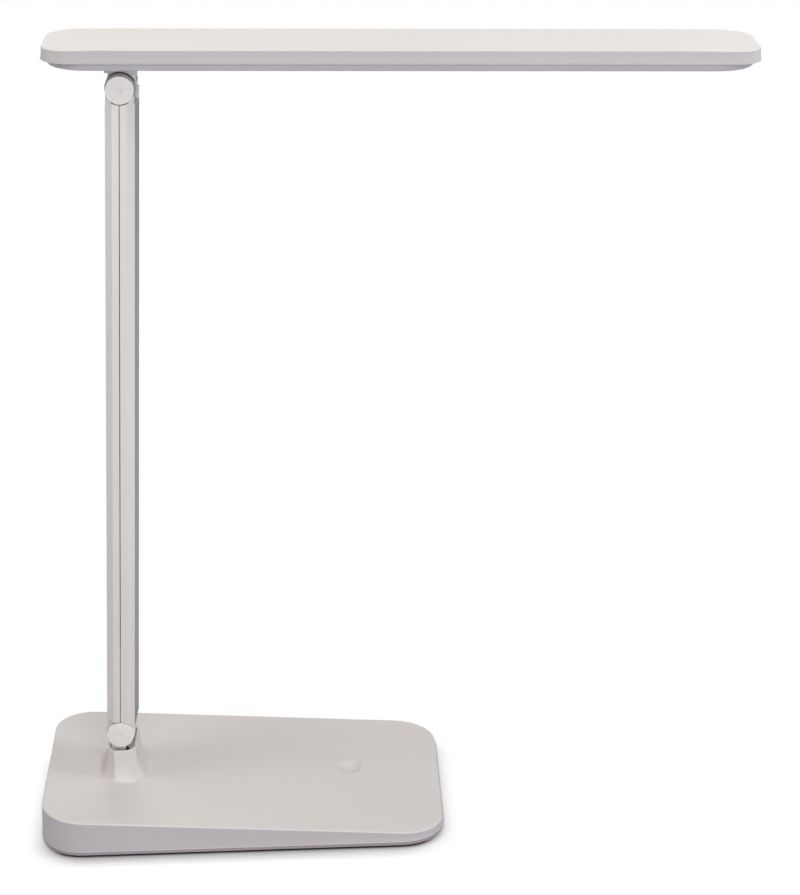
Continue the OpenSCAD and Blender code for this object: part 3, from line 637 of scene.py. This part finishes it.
def arm_shell(side):
    """The half shell as a loop round its wall, carried along the section's path. The loop
    runs up the outside, over the rounded top end, down the inside and under the lower end."""
    outer, inner = styled(half_path(0, arm_edge)), half_path(arm_wall, 0.2)
    outer, inner = ([side, 1] * p for p in (outer, inner))
    turn = np.linspace(0, np.pi / 2, 4)
    share = end_edge / arm_wall
    inwards = np.concatenate([share * (1 - np.cos(turn)), [1]])
    backing = np.concatenate([end_edge * (1 - np.sin(turn)), [0]])
    across = np.concatenate([inwards[::-1], inwards])
    middle = (outer[[0, -1]] + inner[[0, -1]]) / 2
    rows = []
    for o, i in zip([middle[0], *outer, middle[1]], [middle[0], *inner, middle[1]]):
        xy = o + across[:, None] * (i - o)
        count = len(inwards)
        low = low_end(*xy[:count].T) + backing[::-1]
        high = high_end(*xy[count:].T) - backing
        rows.append(np.column_stack([xy, np.concatenate([low, high])]))
    return leaned(np.stack(rows), arm_lean, lower_pivot)


# The arm's side bands carry a deeper texture and painted shade: a darker, cooler colour for the
# dimmer light on them. The inside of the half shells gets the same painted shade, a dark line in
# the seam.
painted_shade_arm_band = finish_of("textured_abs_arm_band", "#7E7B84", "#76737C", 0.5, 0.4, relief_mm=0.03)
for name, side in (("left", -1), ("right", 1)):
    shell = make_piece(f"arm_{name}_half", [arm_shell(side)])
    dress(shell, shell_abs, painted_shade_arm_band)
    second_finish(shell, lambda at, facing: (side * facing[:, 0] < -0.5)
                  | (side * facing[:, 0] > 0.9) & (abs(at[:, 1]) < band_y))
    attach(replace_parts(shell, f"arm_{name}_shell"), "arm")


# ---------- Head cover ----------
# The lamp head's upper shell, moulded in white ABS: a long flat lid with round corners, a
# faint crown that falls away at both ends, and an upright wall with a little draft.
head_droop = 1.5
head_x0, head_x1, head_d, head_corner = -28.5, 238, 40, 11
seat_z, head_top, head_wall = 11.7, 16.9, 1.4
cover_edge, cover_lower_edge, cover_skirt = 0.45, 0.15, 0.4
end_fall, end_fall_l, crown = 0.5, 22, 0.05
head_fill = [np.linspace(0.02, 0.98, 41), spread((0.08, 1, 8)), np.linspace(0.02, 0.98, 41),
             spread((0.08, 1, 8))]


def head_outline(t, corner=head_corner, x0=head_x0, x1=head_x1, d=head_d):
    """The head's outline moved in by t, or another round-cornered one with as many points."""
    return rounded(x1 - x0 - 2 * t, d - 2 * t, max(corner - t, 0.02), head_fill,
                   ((x0 + x1) / 2, 0))


def lid_height(loop):
    """The crowned top: lower towards the front and back, and falling away at both ends."""
    ends = np.minimum(loop[:, 0] - head_x0, head_x1 - loop[:, 0])
    fall = np.clip(1 - ends / end_fall_l, 0, 1) ** 2
    return head_top - end_fall * fall - crown * (loop[:, 1] / (head_d / 2)) ** 2


rows = [at_height(head_outline(head_d / 2), head_top - head_wall),
        at_height(head_outline(head_wall), head_top - head_wall),
        at_height(head_outline(head_wall), seat_z)]
for a in np.linspace(0, np.pi / 2, 4):
    rows.append(at_height(head_outline(cover_lower_edge * (1 - np.sin(a)) - cover_skirt),
                          seat_z + cover_lower_edge * (1 - np.cos(a))))
for f in np.linspace(0.15, 0.85, 6):
    loop = head_outline(-cover_skirt * (1 - f) ** 2)
    low = seat_z + cover_lower_edge
    rows.append(at_height(loop, low + f * (lid_height(loop) - cover_edge - low)))
for a in np.linspace(0, np.pi / 2, 8):
    loop = head_outline(cover_edge * (1 - np.cos(a)))
    rows.append(at_height(loop, lid_height(loop) - cover_edge * (1 - np.sin(a))))
for t in [*np.linspace(0.9, 11, 13), *np.linspace(12.5, head_d / 2, 5)]:
    loop = head_outline(t)
    rows.append(at_height(loop, lid_height(loop)))
cover = make_piece("head_lid", [leaned(np.stack(rows), head_droop, upper_pivot)])
# White ABS: satin, a shade warmer than the light on it.
cover_abs = finish_of("satin_abs_white", "#E1DCD9", "#DCD7D4", 0.4, 0.3)
# Its upright wall has the base's sidewall texture and the same painted shade on its colour.
painted_shade_cover_band = finish_of("coarse_abs_cover_band", "#BDB7B9", "#B8B2B4", 0.5, 0.4)
dress(cover, cover_abs, painted_shade_cover_band)
second_finish(cover, lambda at, facing: abs(facing[:, 2]) < steep)
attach(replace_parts(cover, "head_cover"), "head")


# ---------- Head tray ----------
# The lower shell of the lamp head, with nearly half-round ends, set back from the cover's wall
# and screwed up into it by a thin flange. A long window in its floor holds the diffuser.
tray_in, tray_corner, tray_low, tray_edge = 1.6, 15.8, 8.8, 0.5
flange_corner, flange_t, seat_gap = 13.5, 0.55, 0.05
pocket_in, pocket_floor = 4.1, 9.8
window_x0, window_x1, window_d, window_corner, window_edge = 18, 226, 24.2, 1.2, 0.3


def tray_outline(t, corner=tray_corner):
    """The tray's outline moved in by t, with its own rounder corners."""
    return head_outline(tray_in + t, corner + tray_in)


def window(t):
    """The outline of the diffuser's window moved in by t."""
    return head_outline(t, window_corner, window_x0, window_x1, window_d)


rows = [at_height(window(0), pocket_floor), at_height(window(0), tray_low + window_edge),
        at_height(window(-window_edge), tray_low)]
for a in np.linspace(0, np.pi / 2, 6):
    rows.append(at_height(tray_outline(tray_edge * (1 - np.sin(a))),
                          tray_low + tray_edge * (1 - np.cos(a))))
pocket, flange = tray_outline(pocket_in - tray_in), tray_outline(seat_gap, flange_corner)
rows += [at_height(tray_outline(seat_gap), seat_z - flange_t),
         at_height(flange, seat_z - flange_t), at_height(flange, seat_z - seat_gap),
         at_height(pocket, seat_z - seat_gap), at_height(pocket, pocket_floor), rows[0]]
tray = make_piece("head_floor", [leaned(np.stack(rows), head_droop, upper_pivot)])
# The tray's ABS is mid grey and a little rougher than the cover's.
tray_abs = finish_of("satin_abs_tray", "#B6B1B7", "#B1ACB2", 0.45, 0.3)
dress(tray, tray_abs)
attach(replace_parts(tray, "head_tray"), "head")


# ---------- Head bracket ----------
# The knuckle that turns on the upper bolt between the fork's ears, moulded in glass-filled nylon
# and screwed up into the tray.
bracket = softened("head_bracket", "knuckle", 0.25)
dress(bracket, nylon)
dress(nodes["bracket_screws"], zinc)


# ---------- Light engine ----------
# The opal diffuser in the tray's window, the light guide over it with a white film behind, and
# two LED strips along its sides on a folded aluminium spreader.
# Opal PMMA with a prism pattern on its outside: soft white, pricked by rows of tiny pyramids.
opal = finish_of("prismatic_opal_pmma", "#F4F3F0", "#EFEDEA", 0.35, 1.2, relief_mm=0.2,
                 kind="ShaderNodeTexVoronoi", pattern={"distance": "MANHATTAN", "Randomness": 0},
                 extra={"Subsurface Weight": 0.15, "Subsurface Scale": 0.002})
dress(nodes["diffuser"], opal)
# Clear PMMA with the printed dots that let its light out.
clear = finish_of("dotted_clear_pmma", "#F1F6F7", "#E9F0F2", 0.1, 1.5, kind="ShaderNodeTexVoronoi",
                  pattern={"Randomness": 0}, extra={"Transmission Weight": 0.9})
dress(nodes["light_guide"], clear)
# Foamed PET film: the whitest thing inside, with a dull sheen.
film = finish_of("foamed_pet_film", "#F3F3F1", "#ECECEA", 0.3, 0.5)
dress(nodes["reflector_film"], film)
# White solder mask on the LED strips.
white_mask = finish_of("white_solder_mask", "#E9E7DE", "#DEDCD2", 0.35, 0.4)
dress(nodes["led_strips"], white_mask)
# Phosphor in silicone over each LED: deep yellow when off.
phosphor = finish_of("led_phosphor", "#E6C94F", "#D8B93E", 0.4, 0.3)
dress(nodes["leds"], phosphor)
# Rolled aluminium: bright, with lines along the roll.
rolled = finish_of("rolled_aluminium", "#C9CBCD", "#B9BCBF", 0.3, 0.3, 1, 0.003, (0.2, 8, 8))
dress(nodes["heat_spreader"], rolled)
dress(nodes["head_lead"], sleeves.get(slot_of["head_lead"], pvc))



# ---------- Studio ----------
# A pale floor that takes the lamp's shadow and goes to plain white away from it, soft boxes in
# front, overhead, behind and on the right, two small ones that light the head's ends, and a
# white world for the rest.
floor_half = 6
contact_reach, contact_depth, floor_lift = 0.01, 1.5, 1.28
shade_front, shade_in_x, shade_fade = 7, 7, 14
floor_mesh = bpy.data.meshes.new("studio_floor")
floor_mesh.from_pydata([(-floor_half, -floor_half, 0), (floor_half, -floor_half, 0),
                        (floor_half, floor_half, 0), (-floor_half, floor_half, 0)],
                       [], [(0, 1, 2, 3)])
floor = bpy.data.objects.new("studio_floor", floor_mesh)
scene.collection.objects.link(floor)


def mixed(tree, factor, first, second):
    """The first shader where the factor is 0 and the second where it is 1."""
    mix = add_node(tree, "ShaderNodeMixShader")
    for socket, source in zip(mix.inputs, (factor, first, second)):
        tree.links.new(source, socket)
    return mix.outputs[0]


def seen_ray(tree):
    """1 for rays from the camera and for those mirrored or let through by the lamp, else 0."""
    ray = add_node(tree, "ShaderNodeLightPath").outputs
    bent = add_node(tree, "ShaderNodeMath", {"operation": "MAXIMUM"}, Value=ray["Is Glossy Ray"])
    tree.links.new(ray["Is Transmission Ray"], bent.inputs[1])
    either = add_node(tree, "ShaderNodeMath", {"operation": "MAXIMUM"}, Value=ray["Is Camera Ray"])
    tree.links.new(bent.outputs[0], either.inputs[1])
    return either.outputs[0]


# White paper, a little over-lit, so that only the lamp's own shadow and a painted contact shade
# are darker than white. The painted contact shade is ambient occlusion darkening the paper's
# colour near the base.
paper = bpy.data.materials.new("white_paper_floor")
paper.use_nodes = True
tree = paper.node_tree
tree.nodes.clear()
painted_contact_shade = add_node(tree, "ShaderNodeAmbientOcclusion", {"Distance": contact_reach, "samples": 8})
deeper = add_node(tree, "ShaderNodeMath", {"operation": "POWER", 1: contact_depth},
                  Value=painted_contact_shade.outputs["AO"])
bright = add_node(tree, "ShaderNodeMath", {"operation": "MULTIPLY", 1: floor_lift},
                  Value=deeper.outputs[0])
shown = add_node(tree, "ShaderNodeBsdfDiffuse", Color=bright.outputs[0])
matt = add_node(tree, "ShaderNodeBsdfDiffuse", {"Color": linear("#F2F2F2")})
plain = add_node(tree, "ShaderNodeEmission", {"Color": (1, 1, 1, 1), "Strength": 1})
# The shadow's field is the base's outline, shifted to the front: the distance from it fades the
# paper to plain white.
place = add_node(tree, "ShaderNodeTexCoord")
centred = add_node(tree, "ShaderNodeMapping", {
    "Location": (-(base_left + base_w / 2) * MM, shade_front * MM, 0)},
    Vector=place.outputs["Object"])
folded = add_node(tree, "ShaderNodeVectorMath", {"operation": "ABSOLUTE"},
                  Vector=centred.outputs[0])
past = add_node(tree, "ShaderNodeVectorMath", {"operation": "SUBTRACT", 1: (
    (base_w / 2 - base_corner - shade_in_x) * MM, (base_d / 2 - base_corner) * MM, 0)},
    Vector=folded.outputs[0])
outside = add_node(tree, "ShaderNodeVectorMath", {"operation": "MAXIMUM", 1: (0, 0, 0)},
                   Vector=past.outputs[0])
reach = add_node(tree, "ShaderNodeVectorMath", {"operation": "LENGTH"}, Vector=outside.outputs[0])
far = add_node(tree, "ShaderNodeMapRange", {"From Min": base_corner * MM,
               "From Max": (base_corner + shade_fade) * MM}, Value=reach.outputs["Value"])
seen = mixed(tree, far.outputs["Result"], shown.outputs[0], plain.outputs[0])
add_node(tree, "ShaderNodeOutputMaterial",
         Surface=mixed(tree, seen_ray(tree), matt.outputs[0], seen))
floor_mesh.materials.append(paper)


def soft_box(name, at, towards, size, watts, tint):
    """A square area light that faces a point."""
    lamp = bpy.data.lights.new(name, "AREA")
    lamp.size, lamp.energy, lamp.color = size, watts, linear(tint)[:3]
    box = bpy.data.objects.new(name, lamp)
    box.location = at
    box.rotation_mode = "QUATERNION"
    box.rotation_quaternion = (Vector(towards) - Vector(at)).to_track_quat("-Z", "Y")
    scene.collection.objects.link(box)


soft_box("overhead_box", (-0.1, 0.15, 2.2), (0, 0, 0.1), 1.5, 13.5, "#FFFDF9")
soft_box("front_box", (0.35, -2.1, 0.9), (0, 0, 0.15), 1.2, 28, "#F8FBFF")
soft_box("right_box", (2.2, 0.1, 0.7), (0, 0, 0.15), 1.2, 4.8, "#FBFDFF")
soft_box("rear_box", (0, 1.8, 1.6), (0, 0, 0.1), 1.5, 5.4, "#FFFDFA")
soft_box("head_left_box", (-0.4, -0.12, 0.52), (-0.1, 0, 0.3), 0.25, 0.7, "#FFFBF5")
soft_box("head_right_box", (0.5, -0.15, 0.62), (0.13, 0, 0.3), 0.25, 1.35, "#FBFDFF")

# Camera, glossy and transmitted rays see white, and the lamp itself gets only a faint warm fill.
world = bpy.data.worlds.new("studio_world")
world.use_nodes = True
tree = world.node_tree
tree.nodes.clear()
fill = add_node(tree, "ShaderNodeBackground", {"Color": linear("#FFFCF8"), "Strength": 0.045})
white = add_node(tree, "ShaderNodeBackground", {"Color": (1, 1, 1, 1), "Strength": 1})
add_node(tree, "ShaderNodeOutputWorld",
         Surface=mixed(tree, seen_ray(tree), fill.outputs[0], white.outputs[0]))
scene.world = world
scene.view_settings.view_transform = "Standard"
